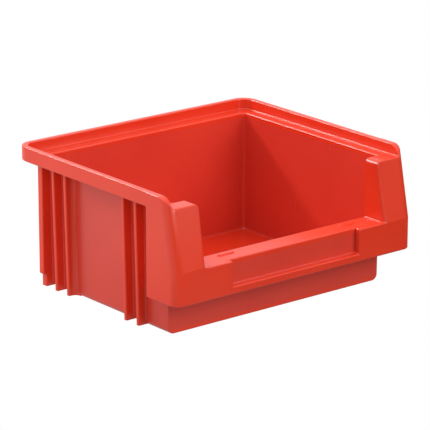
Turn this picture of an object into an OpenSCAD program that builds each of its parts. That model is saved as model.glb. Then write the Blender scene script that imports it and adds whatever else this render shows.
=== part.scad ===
// Stackable open-fronted storage bin: one red plastic moulding, modelled section by section.
// The front faces -Y, +Z is up, and the origin is the centre of the base of the bounding box.

/* [Overall] */
// Overall width, across the side skirts
bin_w = 102; // [92:0.5:150]
// Overall depth, from the label panel to the rear rim
bin_d = 88.5; // [80:0.5:130]
// Overall height, from the base to the top of the rim
bin_h = 48.5; // [42:0.5:80]

/* [Tub] */
// Thickness of the walls
wall_t = 1.6; // [1.2:0.1:2]
// Thickness of the floor
floor_t = 1.6; // [1.2:0.1:2.2]
// Radius along the bottom edges of the sides
bilge_r = 2.4; // [1:0.1:3]
// Outer radius of the upright rear corners
tub_corner_r = 3.5; // [2.5:0.1:5]
// Distance from the label panel's face back to the front of the base
front_setback = 10.85; // [9.5:0.05:14]
// How far the front wall cranks forward below the lip
front_crank = 2.1; // [1:0.1:3]

/* [Stacking rim] */
// Thickness of the rim
rim_t = 2.1; // [1.4:0.1:3]
// Height of the rim above the ledge
rim_rise = 3.7; // [3:0.1:5]
// Gap between the rim's side and the overall width
rim_inset = 0.35; // [0.1:0.05:0.8]
// Radius of the rim's rear corners
rim_corner_r = 6; // [4:0.5:8]
// Thickness of the ledge under the rim
ledge_t = 1.4; // [1:0.1:2.5]
// Width of the side ledges
side_ledge_w = 4.15; // [3.5:0.05:5]
// Width of the rear ledge
rear_ledge_w = 4.95; // [4:0.05:7]
// Radius over the front ends of the rim
rim_end_r = 5; // [3:0.1:5.5]

/* [Front] */
// Thickness of the skirts, the label panel and the posts
skirt_t = 1.5; // [1.2:0.1:2]
// Height of the lower hem of the skirts and the label panel
hem_z = 13; // [8:0.5:16]
// Height of the picking lip
lip_z = 24.25; // [22:0.25:30]
// Radius over the lip's inner edge
lip_r = 2.2; // [2:0.1:3]
// Width of each front post
post_w = 12.6; // [10:0.1:16]
// How far a post's front leans back between the lip and the ledge
post_lean = 4.25; // [2:0.05:5]
// Radius of the upright front corners
front_corner_r = 3.1; // [2:0.1:4]
// Length of a side skirt
skirt_len = 15.65; // [14.5:0.05:20]

/* [Label recess] */
// Visible width of the label recess
label_w = 54.6; // [30:0.2:58]
// Height of the recess floor above the hem
label_rise = 2.6; // [2:0.1:4]
// Depth of the recess
label_depth = 2.3; // [2:0.1:3]
// How far a label tucks in behind each end of the panel
label_tuck = 2.3; // [1:0.1:3]

/* [Ribs] */
// Thickness of a rib
rib_t = 1.5; // [1:0.1:2.5]
// Spacing of the ribs
rib_pitch = 6.65; // [5:0.05:8]
// Number of side ribs near each rear corner
rear_ribs = 3; // [2:1:3]
// Number of side ribs behind each front post
front_ribs = 2; // [1:1:3]
// Number of rear ribs near each rear corner
back_ribs_each = 2; // [1:1:3]
// Distance from the rear rim to the front face of the rearmost side rib
rib_rear_gap = 13.45; // [12:0.05:16]
// Distance from a skirt's rear edge to the first rib
rib_front_gap = 7.4; // [4:0.1:9]
// Distance from the tub's side to the outermost rear rib
back_rib_inset = 6; // [5.5:0.5:10]
// Gap between the rim's side and the top of a rib
rib_top_gap = 1.35; // [0.8:0.05:1.8]
// Clearance of the rib feet inside the rim of the bin below
stack_clearance = 0.2; // [0.15:0.05:0.6]
// Radius of a rib's foot
foot_r = 0.8; // [0.4:0.1:1]
// Radius of the fillet between an innermost rib and the wall
rib_fillet_r = 2.2; // [1:0.1:2.2]
// Thickness of the rearmost side ribs
corner_rib_t = 2.6; // [2:0.1:3.4]
// Height of the notch in the rearmost side ribs
notch_h = 4.5; // [4:0.1:8]
// Depth of the notch in the rearmost side ribs
notch_depth = 1.2; // [0.9:0.1:1.5]

/* [Hidden] */
$fn = 64;
PLASTIC = "#d8342a";
// Flat steps in a rib's fillet.
FILLET_STEPS = 6;
// Flat steps over the rim's front end.
END_STEPS = 8;
// Extra length on a cutting shape, so that it passes right through.
through = 5;

side_x = bin_w / 2;
front_y = -bin_d / 2;
rear_y = bin_d / 2;
rim_x = side_x - rim_inset;
rim_in_x = rim_x - rim_t;
rim_in_y = rear_y - rim_t;
corner_y = rear_y - rim_corner_r;
ledge_z = bin_h - rim_rise;
ledge_under = ledge_z - ledge_t;
cavity_x = rim_in_x - side_ledge_w;
cavity_rear_y = rim_in_y - rear_ledge_w;
tub_x = cavity_x + wall_t;
tub_rear_y = cavity_rear_y + wall_t;
tub_front_y = front_y + front_setback;
rear_split_y = min(corner_y, tub_rear_y - tub_corner_r);
lip_back_y = tub_front_y - front_crank + wall_t;
lip_round_z = lip_z - lip_r;
skirt_rear_y = front_y + skirt_len;
skirt_in_x = side_x - skirt_t;
panel_x = side_x - front_corner_r;
post_in_x = side_x - post_w;
lean_angle = atan(post_lean / (ledge_z - lip_z));
label_z = hem_z + label_rise;
pocket_face_y = front_y + label_depth;
pocket_x = label_w / 2 + label_tuck;
rib_top_x = rim_x - rib_top_gap;
rib_foot_x = rim_in_x - stack_clearance;
rib_top_y = rear_y - rib_top_gap;
rib_foot_y = rim_in_y - stack_clearance;
corner_rib_y = rear_y - rib_rear_gap;
front_rib_y = skirt_rear_y + rib_front_gap;

// A block between two opposite corners.
module block(low, high) {
    translate(low) cube(high - low);
}

// An outline in Y and Z, extruded along X between two places.
module side_profile(x_low, x_high) {
    translate([x_low, 0, 0]) rotate([90, 0, 90]) linear_extrude(x_high - x_low) children();
}

// An outline in X and Z, extruded along Y between two places.
module front_profile(y_low, y_high) {
    translate([0, y_high, 0]) rotate([90, 0, 0]) linear_extrude(y_high - y_low) children();
}

module mirrored_to_right() {
    mirror([1, 0, 0]) children();
}

// An outline from above whose two rear corners are rounded.
module rear_rounded_plan(x, y, r) {
    union() {
        translate([-x, front_y - through]) square([2 * x, y - r - front_y + through]);
        translate([-x + r, front_y - through]) square([2 * (x - r), y - front_y + through]);
        for (side = [-1, 1]) translate([side * (x - r), y - r]) circle(r);
    }
}

module tub_plan(inset) {
    rear_rounded_plan(tub_x - inset, tub_rear_y - inset, tub_corner_r - inset);
}

module rim_plan(inset) {
    rear_rounded_plan(rim_x - inset, rear_y - inset, rim_corner_r - inset);
}

// The area behind the tub's front wall, which is upright, cranks forward and is upright again.
module behind_front_wall(inset) {
    polygon([[tub_front_y + inset, -through],
             [tub_front_y + inset, hem_z],
             [tub_front_y - front_crank + inset, lip_round_z],
             [tub_front_y - front_crank + inset, bin_h + through],
             [rear_y, bin_h + through],
             [rear_y, -through]]);
}

// The tub's outer form, rounded along its bottom side edges.
module tub_outer() {
    intersection() {
        front_profile(front_y, rear_y) union() {
            translate([-tub_x, bilge_r]) square([2 * tub_x, ledge_under - bilge_r]);
            translate([-tub_x + bilge_r, 0]) square([2 * (tub_x - bilge_r), ledge_under]);
            for (side = [-1, 1]) translate([side * (tub_x - bilge_r), bilge_r]) circle(bilge_r);
        }
        linear_extrude(ledge_under) tub_plan(0);
        side_profile(-side_x, side_x) behind_front_wall(0);
    }
}

module tub_shell() {
    difference() {
        tub_outer();
        intersection() {
            translate([0, 0, floor_t]) linear_extrude(bin_h) tub_plan(wall_t);
            side_profile(-side_x, side_x) behind_front_wall(wall_t);
        }
    }
}

module floor() {
    color(PLASTIC) intersection() {
        tub_shell();
        block([-side_x, front_y, 0], [side_x, rear_y, floor_t]);
    }
}

module left_wall() {
    color(PLASTIC) intersection() {
        tub_shell();
        block([-side_x, front_y, floor_t], [-cavity_x, rear_split_y, ledge_under]);
    }
}

module right_wall() {
    mirrored_to_right() left_wall();
}

module back_wall() {
    color(PLASTIC) intersection() {
        tub_shell();
        block([-side_x, rear_split_y, floor_t], [side_x, rear_y, ledge_under]);
    }
}

// The front wall stops where the rounded inner edge of the lip starts.
module front_wall() {
    color(PLASTIC) side_profile(-cavity_x, cavity_x)
        polygon([[tub_front_y, floor_t],
                 [tub_front_y, hem_z],
                 [tub_front_y - front_crank, lip_round_z],
                 [lip_back_y, lip_round_z],
                 [tub_front_y + wall_t, hem_z],
                 [tub_front_y + wall_t, floor_t]]);
}

module left_ledge() {
    color(PLASTIC) block([-rim_in_x, lip_back_y, ledge_under], [-cavity_x, rear_split_y, ledge_z]);
}

module right_ledge() {
    mirrored_to_right() left_ledge();
}

// The rear ledge fills the rounded corners inside the rim.
module back_ledge() {
    color(PLASTIC) intersection() {
        translate([0, 0, ledge_under]) linear_extrude(ledge_t) difference() {
            rim_plan(rim_t);
            tub_plan(wall_t);
        }
        block([-side_x, rear_split_y, 0], [side_x, rear_y, bin_h]);
    }
}

module left_rim() {
    color(PLASTIC) block([-rim_x, skirt_rear_y, ledge_under], [-rim_in_x, corner_y, bin_h]);
}

module right_rim() {
    mirrored_to_right() left_rim();
}

module back_rim() {
    color(PLASTIC) intersection() {
        translate([0, 0, ledge_under]) linear_extrude(bin_h - ledge_under) difference() {
            rim_plan(0);
            rim_plan(rim_t);
        }
        block([-side_x, corner_y, 0], [side_x, rear_y, bin_h]);
    }
}

// Outline of the front from above, rounded at its two front corners.
module front_plan(inset) {
    x = side_x - inset;
    r = front_corner_r - inset;
    length = skirt_len + through;
    translate([0, inset]) union() {
        translate([-x, r]) square([2 * x, length]);
        translate([-x + r, 0]) square([2 * (x - r), length]);
        for (side = [-1, 1]) translate([side * (x - r), r]) circle(r);
    }
}

// The front's form: where an upright outline and one that leans back from the lip overlap.
module front_form(inset) {
    intersection() {
        translate([0, front_y, 0]) linear_extrude(bin_h) front_plan(inset);
        translate([0, front_y, lip_z]) rotate([-lean_angle, 0, 0])
            translate([0, 0, -bin_h]) linear_extrude(2 * bin_h) front_plan(inset);
        block([-side_x, front_y, hem_z], [side_x, skirt_rear_y, bin_h]);
    }
}

module front_shell() {
    difference() {
        front_form(0);
        front_form(skirt_t);
    }
}

// The front band between the rounded corners, open where the label shows.
module label_panel() {
    color(PLASTIC) difference() {
        block([-panel_x, front_y, hem_z], [panel_x, front_y + skirt_t, lip_z]);
        block([-label_w / 2, front_y - through, label_z], [label_w / 2, 0, bin_h]);
    }
}

// The tray behind the label panel that holds the label's back, bottom and ends.
module label_pocket() {
    color(PLASTIC) difference() {
        block([-pocket_x - skirt_t, front_y + skirt_t, label_z - skirt_t],
              [pocket_x + skirt_t, pocket_face_y + skirt_t, lip_z - wall_t]);
        block([-pocket_x, front_y, label_z], [pocket_x, pocket_face_y, bin_h]);
    }
}

// Outline of the lip from the side: flat, then rounded down into the front wall.
module lip_outline() {
    union() {
        translate([front_y + skirt_t, lip_z - wall_t])
            square([lip_back_y - lip_r - front_y - skirt_t, wall_t]);
        translate([lip_back_y - lip_r, lip_round_z]) intersection() {
            difference() {
                circle(lip_r);
                circle(lip_r - wall_t);
            }
            square(lip_r);
        }
    }
}

// The lip is slotted over the label pocket, so that a label drops in from above.
module lip() {
    color(PLASTIC) difference() {
        side_profile(-post_in_x, post_in_x) lip_outline();
        block([-pocket_x, front_y, 0], [pocket_x, pocket_face_y, bin_h]);
    }
}

// A post is hollow and open below: a leaning front, an inner cheek, a rear plate and a cap.
module left_post() {
    color(PLASTIC) union() {
        intersection() {
            front_shell();
            block([-panel_x, front_y, lip_z], [-post_in_x, 0, ledge_under]);
        }
        intersection() {
            front_form(0);
            block([-rim_in_x, front_y, ledge_under], [-post_in_x, lip_back_y, ledge_z]);
        }
        intersection() {
            front_form(skirt_t);
            block([-post_in_x - skirt_t, front_y, lip_z - wall_t],
                  [-post_in_x, lip_back_y, ledge_under]);
        }
        block([-cavity_x, lip_back_y - wall_t, lip_round_z], [-post_in_x, lip_back_y, ledge_under]);
    }
}

module right_post() {
    mirrored_to_right() left_post();
}

// Cuts the rim's front end to a radius that runs down into the leaning front edge.
module rim_end_cut() {
    arc = 90 - lean_angle;
    centre_y = front_y + (bin_h - lip_z) * tan(lean_angle) + rim_end_r * tan(arc / 2);
    centre_z = bin_h - rim_end_r;
    side_profile(-side_x - through, side_x + through) polygon(concat(
        [for (step = [0 : END_STEPS])
            [centre_y - rim_end_r * sin(arc * step / END_STEPS),
             centre_z + rim_end_r * cos(arc * step / END_STEPS)]],
        [[front_y - through, centre_z]],
        [[front_y - through, bin_h + through]],
        [[centre_y, bin_h + through]]));
}

// A skirt carries the front end of the rim and closes off the hollow behind it with a web.
module left_skirt() {
    color(PLASTIC) union() {
        intersection() {
            front_shell();
            block([-side_x, front_y, hem_z], [-panel_x, skirt_rear_y, ledge_under]);
        }
        difference() {
            intersection() {
                front_form(0);
                block([-side_x, front_y, ledge_under], [-rim_in_x, skirt_rear_y, bin_h]);
            }
            rim_end_cut();
        }
        block([-skirt_in_x, skirt_rear_y - skirt_t, hem_z], [-tub_x, skirt_rear_y, ledge_under]);
    }
}

module right_skirt() {
    mirrored_to_right() left_skirt();
}

// Outline of a rib, which tapers from the top down to a rounded foot.
module rib_outline(root, top, foot) {
    union() {
        polygon([[root, 0],
                 [foot - foot_r, 0],
                 [foot - foot_r, foot_r],
                 [foot, foot_r],
                 [top, ledge_under],
                 [root, ledge_under]]);
        translate([foot - foot_r, foot_r]) circle(foot_r);
    }
}

// Outline of a rearmost side rib, which is notched to fit inside the rim of the bin below.
module notched_rib_outline() {
    foot = rib_top_x - notch_depth;
    union() {
        translate([tub_x - bilge_r, notch_h])
            square([rib_top_x - tub_x + bilge_r, ledge_under - notch_h]);
        translate([tub_x - bilge_r, foot_r])
            square([foot - tub_x + bilge_r, notch_h - foot_r]);
        translate([tub_x - bilge_r, 0]) square([foot - foot_r - tub_x + bilge_r, notch_h]);
        translate([foot - foot_r, foot_r]) circle(foot_r);
    }
}

// A tapered rib at a place along the side, with an optional fillet on its face towards +Y or -Y.
module right_rib_at(y, fillet_side) {
    reach = fillet_side == 0 ? 0 : rib_fillet_r;
    low = y - (fillet_side < 0 ? reach : 0);
    high = y + rib_t + (fillet_side > 0 ? reach : 0);
    face = fillet_side < 0 ? y : y + rib_t;
    intersection() {
        front_profile(low, high) rib_outline(tub_x - bilge_r, rib_top_x, rib_foot_x);
        linear_extrude(ledge_under) union() {
            translate([0, y]) square([side_x, rib_t]);
            if (fillet_side != 0) polygon(concat(
                [[0, face - fillet_side * rib_t / 2]],
                [[tub_x + rib_fillet_r, face - fillet_side * rib_t / 2]],
                [for (step = [0 : FILLET_STEPS])
                    [tub_x + rib_fillet_r * (1 - sin(90 * step / FILLET_STEPS)),
                     face + fillet_side * rib_fillet_r * (1 - cos(90 * step / FILLET_STEPS))]],
                [[0, face + fillet_side * rib_fillet_r]]));
        }
    }
}

module right_ribs() {
    color(PLASTIC) difference() {
        union() {
            front_profile(corner_rib_y, corner_rib_y + corner_rib_t) notched_rib_outline();
            for (i = [1 : rear_ribs - 1])
                right_rib_at(corner_rib_y - i * rib_pitch, i == rear_ribs - 1 ? -1 : 0);
            for (i = [0 : front_ribs - 1])
                right_rib_at(front_rib_y + i * rib_pitch, i == front_ribs - 1 ? 1 : 0);
        }
        tub_outer();
    }
}

module left_ribs() {
    mirrored_to_right() right_ribs();
}

module back_ribs() {
    color(PLASTIC) difference() {
        for (side = [-1, 1])
            for (i = [0 : back_ribs_each - 1])
                translate([side * (tub_x - back_rib_inset - i * rib_pitch) - rib_t / 2, 0, 0])
                    side_profile(0, rib_t) rib_outline(tub_rear_y - bilge_r, rib_top_y, rib_foot_y);
        tub_outer();
    }
}

floor();
left_wall();
right_wall();
back_wall();
front_wall();
left_ledge();
right_ledge();
back_ledge();
left_rim();
right_rim();
back_rim();
lip();
label_panel();
label_pocket();
left_post();
right_post();
left_skirt();
right_skirt();
left_ribs();
right_ribs();
back_ribs();
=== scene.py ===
"""A stackable, open-fronted storage bin, moulded in red plastic.

The one moulding is built up, edged and then cut into its named sections.
"""

import math

import bmesh
import bpy
from mathutils import Matrix, Vector


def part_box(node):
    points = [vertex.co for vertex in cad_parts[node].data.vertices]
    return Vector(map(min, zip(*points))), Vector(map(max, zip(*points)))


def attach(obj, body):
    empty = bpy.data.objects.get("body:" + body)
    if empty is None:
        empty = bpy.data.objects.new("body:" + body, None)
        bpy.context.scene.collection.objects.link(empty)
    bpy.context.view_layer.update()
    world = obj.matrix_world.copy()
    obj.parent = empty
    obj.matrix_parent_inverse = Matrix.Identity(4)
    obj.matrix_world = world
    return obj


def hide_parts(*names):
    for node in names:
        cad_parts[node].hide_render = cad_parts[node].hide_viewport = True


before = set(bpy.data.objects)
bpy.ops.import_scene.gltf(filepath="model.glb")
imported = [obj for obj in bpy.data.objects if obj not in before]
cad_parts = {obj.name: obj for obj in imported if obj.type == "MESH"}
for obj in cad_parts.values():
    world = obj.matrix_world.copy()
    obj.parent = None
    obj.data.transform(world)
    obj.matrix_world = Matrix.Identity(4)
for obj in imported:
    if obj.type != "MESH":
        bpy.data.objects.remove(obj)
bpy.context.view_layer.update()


# ---- Tub -------------------------------------------------------------------------------------
# The open box that holds the parts: floor, two sides and a back, drawn slightly in towards the
# base so that it leaves the mould. Its front wall is upright at first, then cranks forward.

MM = 0.001


def new_piece(name, bm):
    """Puts a finished bmesh into the scene as an object at the origin."""
    bmesh.ops.remove_doubles(bm, verts=bm.verts, dist=0.001 * MM)
    bmesh.ops.recalc_face_normals(bm, faces=bm.faces)
    mesh = bpy.data.meshes.new(name)
    bm.to_mesh(mesh)
    bm.free()
    piece = bpy.data.objects.new(name, mesh)
    bpy.context.scene.collection.objects.link(piece)
    return piece


def block(name, low, high):
    """A plain block between two corners, for cutting with or adding."""
    bm = bmesh.new()
    bmesh.ops.create_cube(bm, size=1.0)
    low, high = Vector(low), Vector(high)
    bmesh.ops.scale(bm, vec=high - low, verts=bm.verts)
    bmesh.ops.translate(bm, vec=(low + high) / 2, verts=bm.verts)
    return new_piece(name, bm)


def outline_solid(outline, axis, low, high):
    """A bmesh of an outline in the other two axes, drawn out along one axis."""
    bm = bmesh.new()
    order = {"x": lambda a, b, h: (h, a, b),
             "y": lambda a, b, h: (a, h, b),
             "z": lambda a, b, h: (a, b, h)}[axis]
    corners = [bm.verts.new(order(a, b, low)) for a, b in outline]
    face = bm.faces.new(corners)
    grown = bmesh.ops.extrude_face_region(bm, geom=[face])
    moved = [v for v in grown["geom"] if isinstance(v, bmesh.types.BMVert)]
    bmesh.ops.translate(bm, vec=order(0, 0, high - low), verts=moved)
    bmesh.ops.recalc_face_normals(bm, faces=bm.faces)
    return bm


def round_edges(bm, chosen, radius, steps):
    """Rounds the chosen edges of a bmesh."""
    bmesh.ops.bevel(bm, geom=chosen, offset=radius, offset_type="OFFSET", affect="EDGES",
                    segments=steps, profile=0.5, clamp_overlap=False, material=-1)


def edges_where(bm, test):
    """The edges whose two ends pass one test between them."""
    return [e for e in bm.edges if test(e.verts[0].co, e.verts[1].co)]


def rear_uprights(bm, tall):
    """The upright edges at a solid's two rear corners."""
    return edges_where(bm, lambda a, b: a.y > 0 and b.y > 0 and abs(a.z - b.z) > tall)


def combine(piece, other, how):
    """Fuses, carves or keeps the shared part of two closed shapes; the second one is used up."""
    step = piece.modifiers.new("shape", "BOOLEAN")
    step.operation = how
    step.solver = "MANIFOLD"
    step.object = other
    graph = bpy.context.evaluated_depsgraph_get()
    mesh = bpy.data.meshes.new_from_object(piece.evaluated_get(graph))
    piece.modifiers.clear()
    piece.data = mesh
    bpy.data.objects.remove(other)
    return piece


def lean_in(bm, low_z, high_z, side_in, rear_in):
    """Draws a solid's sides and rear in towards its base, as the mould's draft does."""
    for v in bm.verts:
        share = (high_z - v.co.z) / (high_z - low_z)
        v.co.x -= math.copysign(side_in * share, v.co.x)
        if v.co.y > 0:
            v.co.y -= rear_in * share


tub_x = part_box("right_wall")[1].x
cavity_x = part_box("right_wall")[0].x
wall_t = tub_x - cavity_x
tub_front_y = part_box("floor")[0].y
tub_rear_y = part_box("back_wall")[1].y
floor_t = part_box("floor")[1].z
ledge_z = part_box("right_ledge")[1].z
under_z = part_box("right_ledge")[0].z
hem_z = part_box("label_panel")[0].z
lip_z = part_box("lip")[1].z
lip_back_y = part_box("lip")[1].y
lip_round_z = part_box("front_wall")[1].z
top_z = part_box("back_rim")[1].z
above = 20 * MM
draft, rear_draft = 0.6 * MM, 0.4 * MM
cavity_draft, cavity_rear_draft = 0.75 * MM, 0.55 * MM
corner_r, foot_r = 3.5 * MM, 2.2 * MM
cavity_corner_r, cavity_foot_r = 1.2 * MM, 0.8 * MM

bm = outline_solid([(tub_front_y, 0), (tub_front_y, hem_z), (lip_back_y - wall_t, lip_round_z),
                    (lip_back_y - wall_t, ledge_z), (tub_rear_y, ledge_z), (tub_rear_y, 0)],
                   "x", -tub_x, tub_x)
lean_in(bm, 0, ledge_z, draft, rear_draft)
round_edges(bm, rear_uprights(bm, 30 * MM), corner_r, 9)
round_edges(bm, edges_where(bm, lambda a, b: abs(a.z) < 1e-6 and abs(b.z) < 1e-6
                            and max(a.y, b.y) > tub_front_y + 1 * MM), foot_r, 6)
tub = new_piece("tub", bm)

bm = outline_solid([(tub_front_y + wall_t, floor_t), (tub_front_y + wall_t, hem_z), (lip_back_y, lip_round_z),
                    (lip_back_y, ledge_z + above), (tub_rear_y - wall_t, ledge_z + above),
                    (tub_rear_y - wall_t, floor_t)], "x", -cavity_x, cavity_x)
lean_in(bm, floor_t, ledge_z + above, cavity_draft, cavity_rear_draft)
round_edges(bm, rear_uprights(bm, 30 * MM), cavity_corner_r, 5)
round_edges(bm, edges_where(bm, lambda a, b: abs(a.z - floor_t) < 1e-6 and abs(b.z - floor_t) < 1e-6),
            cavity_foot_r, 4)
cavity = new_piece("cavity", bm)


# ---- Stacking rim ----------------------------------------------------------------------------
# The rim and the ledge inside it are a band round the tub's top, moulded in one with its walls.
# The bin above stands on the ledge, and the rim keeps it from sliding.

rim_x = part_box("right_rim")[1].x
rim_in_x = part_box("right_rim")[0].x
rim_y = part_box("back_rim")[1].y
rim_in_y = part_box("back_ledge")[1].y
skirt_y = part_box("right_skirt")[1].y
side_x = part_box("right_skirt")[1].x
rim_corner_r, rim_inner_r = 6 * MM, 3.9 * MM

bm = outline_solid([(-side_x, skirt_y - 1 * MM), (side_x, skirt_y - 1 * MM), (side_x, rim_y),
                    (-side_x, rim_y)], "z", under_z, top_z)
round_edges(bm, rear_uprights(bm, 1 * MM), rim_corner_r, 12)
rim_band = new_piece("rim_band", bm)

bm = outline_solid([(-rim_in_x, -2 * rim_y), (rim_in_x, -2 * rim_y), (rim_in_x, rim_in_y),
                    (-rim_in_x, rim_in_y)], "z", ledge_z, top_z + above)
round_edges(bm, rear_uprights(bm, 1 * MM), rim_inner_r, 10)
rim_space = new_piece("rim_space", bm)


# ---- Front -----------------------------------------------------------------------------------
# The front is a hollow shell, open below: the label panel and its lip, a post at each end and a
# skirt down each side. It is upright to the lip, and the posts then lean back up to the ledge.

front_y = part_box("label_panel")[0].y
post_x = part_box("right_post")[0].x
skirt_t = 1.5 * MM
front_corner_r, crest_r = 3.1 * MM, 4.4 * MM
post_lean = 4.25 * MM
lean = math.atan2(post_lean, ledge_z - lip_z)


def front_form(name, inset):
    """The front's outline from above, upright and leaning, kept where the two overlap."""
    x, r = side_x - inset, front_corner_r - inset
    corner = [(x - r + r * math.sin(a), inset + r - r * math.cos(a))
              for a in (math.radians(d) for d in (0, 22.5, 34, 45, 56, 67.5, 90))]
    edge = corner + [(x, 30 * MM), (-x, 30 * MM)] + [(-a, b) for a, b in reversed(corner)]
    forms = []
    for angle in (0, lean):
        bm = outline_solid(edge, "z", -60 * MM, 60 * MM)
        turn = Matrix.Translation((0, front_y, lip_z)) @ Matrix.Rotation(-angle, 4, "X")
        bmesh.ops.transform(bm, matrix=turn, verts=bm.verts)
        forms.append(new_piece(name, bm))
    return combine(forms[0], forms[1], "INTERSECT")


top_front_y = front_y + (top_z - lip_z) * math.tan(lean)
bm = outline_solid([(front_y - 1 * MM, hem_z), (front_y - 1 * MM, lip_z - 5 * MM), (front_y - 1 * MM, lip_z),
                    (top_front_y, top_z), (skirt_y, top_z), (skirt_y, hem_z)],
                   "x", -side_x - 1 * MM, side_x + 1 * MM)
round_edges(bm, edges_where(bm, lambda a, b: abs(a.y - top_front_y) < 1e-5 and abs(b.y - top_front_y) < 1e-5
                            and abs(a.x - b.x) > 10 * MM), crest_r, 12)
front = combine(front_form("front", 0), new_piece("front_side", bm), "INTERSECT")

# Two low pips stand on the lip. They are added last, so that the lip's edge radii stay clean.
pip_half_x, pip_half_y = 3.3 * MM, 0.8 * MM
pip_sunk, pip_proud = 0.6 * MM, 0.45 * MM
pip_corner_r, pip_top_r = 0.6 * MM, 0.25 * MM
pips = []
for x, y in ((-24.3 * MM, -36.4 * MM), (27.5 * MM, -37.1 * MM)):
    bm = outline_solid([(x - pip_half_x, y - pip_half_y), (x + pip_half_x, y - pip_half_y),
                        (x + pip_half_x, y + pip_half_y), (x - pip_half_x, y + pip_half_y)],
                       "z", lip_z - pip_sunk, lip_z + pip_proud)
    round_edges(bm, edges_where(bm, lambda a, b: abs(a.z - b.z) > 0.5 * MM), pip_corner_r, 4)
    round_edges(bm, edges_where(bm, lambda a, b: min(a.z, b.z) > lip_z), pip_top_r, 3)
    pips.append(new_piece("pip", bm))

hollow = front_form("hollow", skirt_t)
hollow = combine(hollow, block("hollow_reach", (-side_x, front_y, hem_z - above),
                               (side_x, skirt_y - skirt_t, under_z)), "INTERSECT")
cheek_in_x = post_x + skirt_t
under_lip = block("under_lip", (-cheek_in_x, front_y, lip_z - wall_t), (cheek_in_x, 0, top_z))
hollow = combine(hollow, under_lip, "DIFFERENCE")
front = combine(front, hollow, "DIFFERENCE")


# ---- Label pocket ----------------------------------------------------------------------------
# A shallow tray behind the label panel. A paper label drops in through a slot in the lip, rests
# on the tray's floor, and its ends tuck in behind the panel.

pocket_low, pocket_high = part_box("label_pocket")
label_z = hem_z + 2.6 * MM
label_x = 27.3 * MM
tuck_x = label_x + 1.3 * MM
face_y = front_y + 2.3 * MM
tuck_gap = 0.3 * MM
tuck_z = label_z + 0.45 * MM

pocket = block("pocket", (pocket_low.x, front_y + skirt_t - 0.5 * MM, label_z - skirt_t),
               (pocket_high.x, pocket_high.y, lip_z - 0.5 * MM))
label_window = block("label_window", (-label_x, front_y - above, label_z), (label_x, face_y, lip_z + above))
label_slot = block("label_slot", (-tuck_x, face_y - tuck_gap, tuck_z),
                   (tuck_x, face_y - 0.01 * MM, lip_z + above))


# ---- Ribs ------------------------------------------------------------------------------------
# Upright ribs stiffen the walls, and their feet fit just inside the rim of the bin below. The
# ones beside the plain panels flow into the wall, and the rearmost side ribs are notched.

def rib_outline(root, top, foot):
    """A rib seen from its side: from the wall out to its foot, and on out to the rim above."""
    return [(root, foot_z), (foot, foot_z), (top, under_z + 0.5 * MM), (root, under_z + 0.5 * MM)]


rib_t = 1.5 * MM
foot_z = 0.46 * MM
stack_gap = 0.2 * MM
rib_top_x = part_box("right_ribs")[1].x
rib_foot_x = rim_in_x - stack_gap
rib_pitch = 6.65 * MM
corner_rib_y = rim_y - 13.45 * MM
front_rib_y = skirt_y + 7.4 * MM
corner_rib_t = 2.6 * MM
flow_r = 2.2 * MM
wall_x = tub_x - 0.18 * MM
notch_in_x = rib_top_x - 1.2 * MM
notch_low_z, notch_high_z = 4.5 * MM, 4.9 * MM
back_rib_x = tub_x - 6 * MM

# The roots reach through the wall, and the cavity trims them flush when it is cut.
plan_root_x, rise_root_x = 0.9 * tub_x, 0.92 * tub_x
back_root_y = 0.92 * tub_rear_y
ribs = []
for side in (-1, 1):
    for y, flow in ((corner_rib_y - rib_pitch, 0), (corner_rib_y - 2 * rib_pitch, -1),
                    (front_rib_y, 0), (front_rib_y + rib_pitch, 1)):
        edge = [(plan_root_x, y), (rib_top_x + 1 * MM, y), (rib_top_x + 1 * MM, y + rib_t),
                (plan_root_x, y + rib_t)]
        if flow:
            face = y if flow < 0 else y + rib_t
            arc = [(wall_x + flow_r * (1 - math.sin(a)), face + flow * flow_r * (1 - math.cos(a)))
                   for a in (math.radians(d) for d in range(0, 91, 10))]
            back = y + rib_t if flow < 0 else y
            edge = [(plan_root_x, back), (rib_top_x + 2 * MM, back), (rib_top_x + 2 * MM, face)] + arc
            edge.append((plan_root_x, face + flow * flow_r))
        bm = outline_solid([(side * a, b) for a, b in edge], "z", 0, ledge_z)
        for v in bm.verts:
            v.co.x -= side * draft * (ledge_z - v.co.z) / ledge_z
        plan = new_piece("rib_plan", bm)
        rise = outline_solid([(side * a, b) for a, b in rib_outline(rise_root_x, rib_top_x, rib_foot_x)],
                             "y", y - 5 * MM, y + 8 * MM)
        ribs.append(combine(plan, new_piece("rib_rise", rise), "INTERSECT"))
    notched = [(rise_root_x, foot_z), (notch_in_x, foot_z), (notch_in_x, notch_low_z),
               (rib_top_x, notch_high_z), (rib_top_x, under_z + 0.5 * MM), (rise_root_x, under_z + 0.5 * MM)]
    ribs.append(new_piece("corner_rib", outline_solid([(side * a, b) for a, b in notched], "y",
                                                      corner_rib_y, corner_rib_y + corner_rib_t)))
    for step in range(2):
        x = side * (back_rib_x - step * rib_pitch)
        rise = rib_outline(back_root_y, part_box("back_ribs")[1].y, rim_in_y - stack_gap)
        ribs.append(new_piece("back_rib", outline_solid(rise, "x", x - rib_t / 2, x + rib_t / 2)))


# ---- One moulding ----------------------------------------------------------------------------
# All of it is one shot of polypropylene. The shapes above are fused, the lip and the posts get
# larger radii where a hand reaches in, and every other edge gets the mould's small radius.

moulding = combine(front, tub, "UNION")
moulding = combine(moulding, rim_band, "UNION")
moulding = combine(moulding, pocket, "UNION")
for rib in ribs:
    moulding = combine(moulding, rib, "UNION")
moulding = combine(moulding, cavity, "DIFFERENCE")
moulding = combine(moulding, rim_space, "DIFFERENCE")
picking_front = block("picking_front", (-post_x, -2 * rim_y, lip_z),
                      (post_x, lip_back_y + 3 * MM, top_z + above))
moulding = combine(moulding, picking_front, "DIFFERENCE")
moulding = combine(moulding, label_window, "DIFFERENCE")
moulding.name = "moulding"


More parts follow.
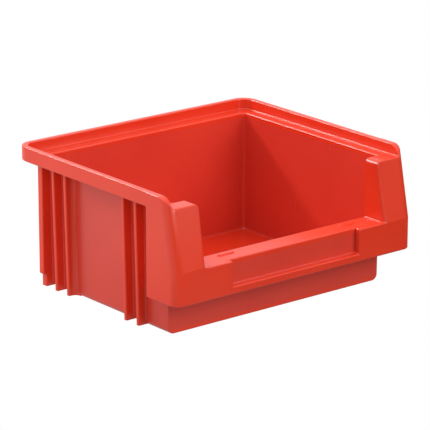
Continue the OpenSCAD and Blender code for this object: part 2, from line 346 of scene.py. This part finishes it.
def along(bm, *tests):
    """The edges whose two ends both pass every test."""
    return [e for e in bm.edges if all(test(v.co) for test in tests for v in e.verts)]


def near(value, target):
    """Whether a coordinate is as good as at a given place."""
    return abs(value - target) < 0.02 * MM


def on_leaning_face(v):
    """Whether a corner lies on the posts' leaning front face."""
    return near((v.y - front_y) * math.cos(lean) - (v.z - lip_z) * math.sin(lean), 0)


lip_r, cap_r = 1.9 * MM, 1.5 * MM
post_front_r, post_back_r = 1.3 * MM, 0.9 * MM
edge_r = 0.4 * MM

bm = bmesh.new()
bm.from_mesh(moulding.data)
bmesh.ops.remove_doubles(bm, verts=bm.verts, dist=0.03 * MM)
bmesh.ops.dissolve_limit(bm, angle_limit=math.radians(0.5), verts=bm.verts, edges=bm.edges)
lip_edge = along(bm, lambda v: near(v.y, lip_back_y), lambda v: near(v.z, lip_z),
                 lambda v: abs(v.x) < post_x + 1e-5)
round_edges(bm, lip_edge, lip_r, 6)
for side in (-1, 1):
    cheek_x = side * post_x
    cap_edge = along(bm, lambda v: near(v.x, cheek_x), lambda v: near(v.z, ledge_z))
    round_edges(bm, cap_edge, cap_r, 6)
    post_front = along(bm, lambda v: near(v.x, cheek_x), lambda v: v.y < lip_back_y - 3 * MM,
                       lambda v: v.z > lip_z - 1e-5, on_leaning_face)
    round_edges(bm, post_front, post_front_r, 5)
    post_back = along(bm, lambda v: near(v.x, cheek_x), lambda v: near(v.y, lip_back_y),
                      lambda v: v.z > lip_z + 1e-5)
    round_edges(bm, post_back, post_back_r, 4)

small = bm.edges.layers.float.new("bevel_weight_edge")
for e in bm.edges:
    middle = (e.verts[0].co + e.verts[1].co) / 2
    hidden_root = max(v.co.z for v in e.verts) < 1.4 * MM and middle.y > tub_front_y + 1 * MM
    if e.calc_face_angle(0) > math.radians(30) and not hidden_root:
        e[small] = 1
bm.to_mesh(moulding.data)
bm.free()
edging = moulding.modifiers.new("mould_radius", "BEVEL")
edging.limit_method = "WEIGHT"
edging.width = edge_r
edging.segments = 3
edging.use_clamp_overlap = False
graph = bpy.context.evaluated_depsgraph_get()
edged = bpy.data.meshes.new_from_object(moulding.evaluated_get(graph))
moulding.modifiers.clear()
moulding.data = edged
moulding = combine(moulding, label_slot, "DIFFERENCE")
for pip in pips:
    moulding = combine(moulding, pip, "UNION")


# ---- Sections --------------------------------------------------------------------------------
# The moulding is cut into its named sections, which meet face to face with no gap: the real bin
# has no joints. Each one is a closed shape and stands for the section of the same name.

def region(spans, side):
    """One closed shape from abutting or overlapping blocks, mirrored for the right-hand side."""
    whole = None
    for low_x, high_x, low_y, high_y, low_z, high_z in spans:
        low_x, high_x = (low_x, high_x) if side < 0 else (-high_x, -low_x)
        part = block("region", (low_x, low_y, low_z), (high_x, high_y, high_z))
        whole = part if whole is None else combine(whole, part, "UNION")
    return whole


sections = []


def section(node, spans, side=-1):
    """Keeps the moulding's share inside the given blocks as the piece for one section."""
    piece = bpy.data.objects.new("moulded_" + node, moulding.data.copy())
    bpy.context.scene.collection.objects.link(piece)
    combine(piece, region(spans, side), "INTERSECT")
    bm = bmesh.new()
    bm.from_mesh(piece.data)
    if node.endswith("rim"):
        # The rim stands a little further in than the skirts, so its outer face is drawn in.
        for v in bm.verts:
            beyond = abs(v.co.x) - rim_in_x
            if beyond > 0:
                v.co.x -= math.copysign(beyond * (side_x - rim_x) / (side_x - rim_in_x), v.co.x)
    for e in bm.edges:
        e.smooth = e.calc_face_angle(0) < math.radians(38)
    for f in bm.faces:
        f.smooth = True
    bm.to_mesh(piece.data)
    bm.free()
    piece.data.name = piece.name
    weigh = piece.modifiers.new("shading", "WEIGHTED_NORMAL")
    weigh.keep_sharp = True
    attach(piece, "root")
    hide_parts(node)
    sections.append(piece)


far = 70 * MM
split_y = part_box("back_wall")[0].y
heel_y = tub_front_y + wall_t + 1.3 * MM
nose_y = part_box("front_wall")[0].y - 0.5 * MM
rim_back_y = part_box("right_rim")[1].y
pocket_back_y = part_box("label_pocket")[1].y + 0.45 * MM
pocket_top_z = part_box("label_pocket")[1].z
panel_back_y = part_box("label_panel")[1].y
panel_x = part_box("label_panel")[1].x

section("floor", [(-tub_x, tub_x, nose_y, tub_rear_y, -far, floor_t)])
section("back_wall", [(-tub_x, tub_x, split_y, tub_rear_y, floor_t, under_z)])
section("front_wall", [(-cavity_x, cavity_x, nose_y, heel_y, floor_t, lip_round_z)])
section("lip", [(-post_x, post_x, pocket_back_y, heel_y, lip_round_z, lip_z + 5 * MM),
                (-post_x, post_x, panel_back_y, pocket_back_y, pocket_top_z, lip_z + 5 * MM)])
section("label_panel", [(-panel_x, panel_x, -far, panel_back_y, -far, lip_z)])
section("label_pocket", [(pocket_low.x - 1 * MM, pocket_high.x + 1 * MM,
                          panel_back_y, pocket_back_y, -far, pocket_top_z)])
section("back_ledge", [(-rim_in_x, rim_in_x, split_y, rim_in_y, under_z, ledge_z)])
section("back_rim", [(-far, far, rim_in_y, far, under_z, far),
                     (-rim_in_x, rim_in_x, rim_back_y, rim_in_y, ledge_z, far),
                     (-far, -rim_in_x, rim_back_y, rim_in_y, under_z, far),
                     (rim_in_x, far, rim_back_y, rim_in_y, under_z, far)])
section("back_ribs", [(-far, far, tub_rear_y, far, -far, under_z)])
for side, name in ((-1, "left"), (1, "right")):
    section(name + "_wall", [(-tub_x, -cavity_x, nose_y, split_y, floor_t, under_z),
                             (-cavity_x, 0, heel_y, split_y, floor_t, under_z)], side)
    section(name + "_ledge", [(-rim_in_x, 2 * MM - cavity_x, lip_back_y, split_y, under_z, ledge_z)], side)
    section(name + "_rim", [(-far, -rim_in_x, skirt_y, rim_back_y, under_z, far),
                            (-rim_in_x, 1 * MM - rim_in_x, skirt_y, rim_back_y, ledge_z, far)], side)
    section(name + "_post", [(-panel_x, -post_x, -far, nose_y, lip_z, under_z),
                             (-cavity_x, -post_x, nose_y, heel_y, lip_round_z, under_z),
                             (-panel_x, -post_x, panel_back_y, nose_y, lip_round_z, lip_z),
                             (-rim_in_x, -post_x, -far, lip_back_y, under_z, ledge_z)], side)
    section(name + "_skirt", [(-far, -panel_x, -far, skirt_y, -far, under_z),
                              (-far, -rim_in_x, -far, skirt_y, under_z, far),
                              (-rim_in_x, 1 * MM - rim_in_x, -far, skirt_y, ledge_z, far),
                              (-panel_x, -tub_x, nose_y, skirt_y, -far, under_z)], side)
    section(name + "_ribs", [(-far, -tub_x, skirt_y, tub_rear_y, -far, under_z)], side)


# ---- Red polypropylene -----------------------------------------------------------------------
# Self-coloured glossy polypropylene, straight from the mould: a very fine grain, soft waves where
# the walls have shrunk, a little drift in the colour, and rubbed patches from being stacked.

def mould_finish():
    """The moulded surface's colour, roughness and relief, as a group shared by its finishes."""
    group = bpy.data.node_groups.new("mould_finish", "ShaderNodeTree")
    for name, kind, default in (("Deep", "Color", (0.6, 0.02, 0.014, 1)),
                                ("Pale", "Color", (0.7, 0.04, 0.026, 1)),
                                ("Gloss", "Float", 0.25), ("Rubbed", "Float", 0.4), ("Grain", "Float", 0.2)):
        socket = group.interface.new_socket(name=name, in_out="INPUT", socket_type="NodeSocket" + kind)
        socket.default_value = default
    for name, kind in (("Color", "Color"), ("Roughness", "Float"), ("Height", "Float")):
        group.interface.new_socket(name=name, in_out="OUTPUT", socket_type="NodeSocket" + kind)
    nodes, links = group.nodes, group.links
    given, made = nodes.new("NodeGroupInput"), nodes.new("NodeGroupOutput")
    where = nodes.new("ShaderNodeTexCoord").outputs["Object"]

    def speckle(scale, detail, squeeze=(1, 1, 1)):
        stretch, noise = nodes.new("ShaderNodeMapping"), nodes.new("ShaderNodeTexNoise")
        stretch.inputs["Scale"].default_value = squeeze
        noise.inputs["Scale"].default_value = scale
        noise.inputs["Detail"].default_value = detail
        links.new(where, stretch.inputs["Vector"])
        links.new(stretch.outputs["Vector"], noise.inputs["Vector"])
        return noise.outputs["Fac"]

    def ramp(value, low, high, to_low=0.0, to_high=1.0):
        node = nodes.new("ShaderNodeMapRange")
        for key, v in (("From Min", low), ("From Max", high), ("To Min", to_low), ("To Max", to_high)):
            node.inputs[key].default_value = v
        links.new(value, node.inputs["Value"])
        return node.outputs["Result"]

    def reckon(how, a, b):
        node = nodes.new("ShaderNodeMath")
        node.operation = how
        for socket, v in zip(node.inputs, (a, b)):
            links.new(v, socket)
        return node.outputs["Value"]

    def blend_of(kind, fac, a, b):
        node = nodes.new("ShaderNodeMix")
        node.data_type = kind
        ends = [i for i in node.inputs if i.enabled]
        for socket, v in zip(ends, (fac, a, b)):
            links.new(v, socket)
        return next(o for o in node.outputs if o.enabled)

    drift = ramp(speckle(34, 2), 0.32, 0.68)
    rubs = ramp(speckle(260, 5, (1, 1, 0.25)), 0.6, 0.74)
    patch = ramp(speckle(46, 2), 0.5, 0.66)
    rubbed = reckon("MULTIPLY", rubs, patch)
    grain = speckle(3800, 2)
    waves = speckle(70, 1)
    links.new(blend_of("RGBA", drift, given.outputs["Deep"], given.outputs["Pale"]), made.inputs["Color"])
    uneven = ramp(speckle(900, 3), 0.3, 0.7, -0.015, 0.015)
    fresh = reckon("ADD", given.outputs["Gloss"], uneven)
    links.new(blend_of("FLOAT", rubbed, fresh, given.outputs["Rubbed"]), made.inputs["Roughness"])
    relief = reckon("ADD", reckon("MULTIPLY", grain, given.outputs["Grain"]), waves)
    links.new(relief, made.inputs["Height"])
    return group


def plastic(name, deep, pale, gloss, rubbed, grain):
    """One copy of the red plastic, with its own colour and gloss."""
    finish = bpy.data.materials.new(name)
    finish.use_nodes = True
    nodes, links = finish.node_tree.nodes, finish.node_tree.links
    skin = nodes["Principled BSDF"]
    surface = nodes.new("ShaderNodeGroup")
    surface.node_tree = mould_surface
    for key, v in (("Deep", (*deep, 1)), ("Pale", (*pale, 1)), ("Gloss", gloss), ("Rubbed", rubbed),
                   ("Grain", grain)):
        surface.inputs[key].default_value = v
    relief = nodes.new("ShaderNodeBump")
    relief.inputs["Distance"].default_value = 0.012 * MM
    relief.inputs["Strength"].default_value = 0.35
    skin.inputs["IOR"].default_value = 1.5
    skin.inputs["Specular IOR Level"].default_value = 0.5
    links.new(surface.outputs["Color"], skin.inputs["Base Color"])
    links.new(surface.outputs["Roughness"], skin.inputs["Roughness"])
    links.new(surface.outputs["Height"], relief.inputs["Height"])
    links.new(relief.outputs["Normal"], skin.inputs["Normal"])
    return finish


mould_surface = mould_finish()
# Two copies of the one red. The second is darker: painted shade that darkens the bin's inside, and with it
# the outer faces of the same sections. Its gloss differs only a little.
lit_red = plastic("red_lit", (0.7, 0.036, 0.012), (0.75, 0.045, 0.016), 0.22, 0.29, 0.05)
shaded_red = plastic("red_painted_shade", (0.62, 0.042, 0.024), (0.67, 0.05, 0.028), 0.24, 0.3, 0.05)
# The wall sections and the label pocket take the darker copy, which is painted shade. Every other section
# takes the lit one.
shaded_sections = ("back_wall", "left_wall", "right_wall", "front_wall", "label_pocket")
for piece in sections:
    plain = piece.name.removeprefix("moulded_") in shaded_sections
    piece.data.materials.clear()
    piece.data.materials.append(shaded_red if plain else lit_red)
    for face in piece.data.polygons:
        face.material_index = 0
bpy.data.objects.remove(moulding)


# ---- Studio ----------------------------------------------------------------------------------
# A white floor that glows: evenly white to the camera, and to all other rays brighter behind and to the left,
# a glow that stands in for the room's light.
# A broad soft light in front, a small one behind, a wide one overhead, and a low strip at the
# left that gives the skirt its sheen.

bm = bmesh.new()
bmesh.ops.create_grid(bm, x_segments=1, y_segments=1, size=4)
bmesh.ops.translate(bm, vec=(0, 0, -0.05 * MM), verts=bm.verts)
studio_floor = new_piece("studio_floor", bm)
if studio_floor.data.polygons[0].normal.z < 0:
    studio_floor.data.flip_normals()
pale = bpy.data.materials.new("white_floor")
pale.use_nodes = True
nodes, links = pale.node_tree.nodes, pale.node_tree.links
nodes.clear()
shown, sheet = nodes.new("ShaderNodeEmission"), nodes.new("ShaderNodeEmission")
shown.inputs["Strength"].default_value = 1.0
place = nodes.new("ShaderNodeTexCoord")
toward = nodes.new("ShaderNodeVectorMath")
toward.operation = "DOT_PRODUCT"
toward.inputs[1].default_value = (-0.62, 0.78, 0)
links.new(place.outputs["Object"], toward.inputs[0])
fall = nodes.new("ShaderNodeMapRange")
for key, v in (("From Min", -0.12), ("From Max", 0.12), ("To Min", 0.05), ("To Max", 0.8)):
    fall.inputs[key].default_value = v
links.new(toward.outputs["Value"], fall.inputs["Value"])
links.new(fall.outputs["Result"], sheet.inputs["Strength"])
seen, choice = nodes.new("ShaderNodeLightPath"), nodes.new("ShaderNodeMixShader")
out = nodes.new("ShaderNodeOutputMaterial")
links.new(seen.outputs["Is Camera Ray"], choice.inputs["Fac"])
links.new(sheet.outputs["Emission"], choice.inputs[1])
links.new(shown.outputs["Emission"], choice.inputs[2])
links.new(choice.outputs["Shader"], out.inputs["Surface"])
studio_floor.data.materials.append(pale)

world = bpy.data.worlds.new("studio")
bpy.context.scene.world = world
world.use_nodes = True
nodes, links = world.node_tree.nodes, world.node_tree.links
nodes["Background"].inputs["Color"].default_value = (1, 1, 1, 1)
toward, share = nodes.new("ShaderNodeVectorMath"), nodes.new("ShaderNodeMapRange")
toward.operation = "DOT_PRODUCT"
toward.inputs[1].default_value = (-0.45, 0.45, 0.77)
links.new(nodes.new("ShaderNodeTexCoord").outputs["Generated"], toward.inputs[0])
for key, v in (("From Min", -0.6), ("From Max", 0.6), ("To Min", 0.12), ("To Max", 1.1)):
    share.inputs[key].default_value = v
links.new(toward.outputs["Value"], share.inputs["Value"])
links.new(share.outputs["Result"], nodes["Background"].inputs["Strength"])


def soft_light(name, place, aim, size, power):
    """A soft box of a given width and height that points at one place."""
    data = bpy.data.lights.new(name, "AREA")
    data.shape = "RECTANGLE"
    data.size, data.size_y = size
    data.energy = power
    lamp = bpy.data.objects.new(name, data)
    bpy.context.scene.collection.objects.link(lamp)
    lamp.location = place
    lamp.rotation_euler = (Vector(aim) - Vector(place)).to_track_quat("-Z", "Y").to_euler()


soft_light("front_box", (0.35, -1.1, 0.48), (0, 0, 0.02), (0.8, 0.7), 7.8)
soft_light("rear_box", (-0.35, 0.75, 0.6), (0, 0, 0.03), (0.3, 0.1), 5)
soft_light("left_strip", (-0.85, 0.2, 0.045), (0, 0, 0.025), (0.6, 0.09), 0.45)
soft_light("top_box", (0.0, 0.0, 1.0), (0, 0, 0), (0.9, 0.9), 2.6)


# ---- View ------------------------------------------------------------------------------------
# A long lens from the front left, a little above the bin.

view = bpy.data.cameras.new("view")
camera = bpy.data.objects.new("view", view)
bpy.context.scene.collection.objects.link(camera)
aim = Vector((0, 0, 24.33 * MM))
stand_off = 964.6 * MM
camera.location = aim + stand_off * Vector((-0.5992, -0.7441, 0.2953))
camera.rotation_euler = (aim - camera.location).to_track_quat("-Z", "Y").to_euler()
view.lens = 237.06
view.sensor_width = 36
view.shift_x = 0.0038
view.shift_y = -0.0022
view.clip_end = 20
bpy.context.scene.camera = camera
bpy.context.scene.view_settings.view_transform = "Standard"
